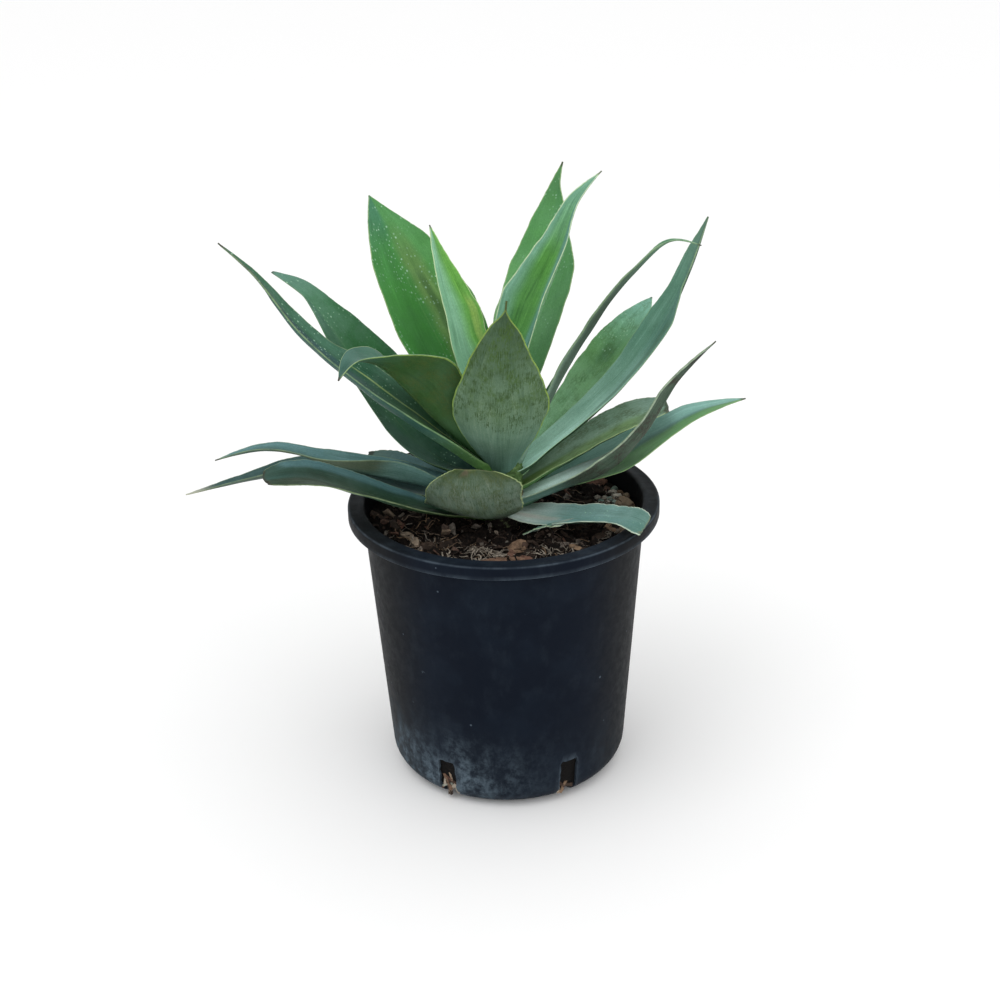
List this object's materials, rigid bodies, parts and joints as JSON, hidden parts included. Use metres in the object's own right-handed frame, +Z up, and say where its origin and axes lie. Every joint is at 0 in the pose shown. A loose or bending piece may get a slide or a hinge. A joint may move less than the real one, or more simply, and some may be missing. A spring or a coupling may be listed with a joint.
{
  "type": "potted agave plant",
  "caption": "Young soft-leaved agave rosette with broad, pointed, channelled leaves, planted in a round black nursery pot with drain slots.",
  "frame": {"origin": "on the pot's axis, at the flat underside that the pot stands on", "axes": "+Z up along the pot's axis; -Y towards the side that the picture shows; +X to the right as seen from there"},
  "size_m": [0.3645, 0.25, 0.3822],
  "materials": {
    "pot": "matt black moulded plastic, dusty near its foot",
    "soil": "dark, rough potting mix with bark",
    "stem": "matt",
    "bud": "waxy leaf skin",
    "leaf_green": "waxy green leaf skin with a bloom",
    "leaf_blue": "waxy blue-green leaf skin with a bloom",
    "leaf_olive": "waxy olive-green leaf skin, weathered",
    "leaf_pale": "waxy pale green skin of a young leaf"
  },
  "bodies": {
    "root": {"pot": "pot", "soil": "soil", "stem": "stem", "bud": "bud", "leaf_left_long": "leaf_blue", "leaf_left_broad": "leaf_green", "leaf_left_folded": "leaf_olive", "leaf_back_left_broad": "leaf_green", "leaf_back_left_young": "leaf_pale", "leaf_back_broad": "leaf_green", "leaf_back_young": "leaf_pale", "leaf_front_upright": "leaf_olive", "leaf_front_stub": "leaf_olive", "leaf_front_right_torn": "leaf_blue", "leaf_left_low_long": "leaf_blue", "leaf_left_low_cut": "leaf_blue", "leaf_left_low_arching": "leaf_blue", "leaf_back_left_low": "leaf_green", "leaf_right_arching": "leaf_green", "leaf_right_long": "leaf_blue", "leaf_right_broad": "leaf_green", "leaf_right_blunt": "leaf_green", "leaf_right_narrow": "leaf_blue", "leaf_right_low": "leaf_blue", "leaf_back_low": "leaf_green", "leaf_back_right_low": "leaf_green", "leaf_back_left_middle": "leaf_green"}
  },
  "joints": []
}
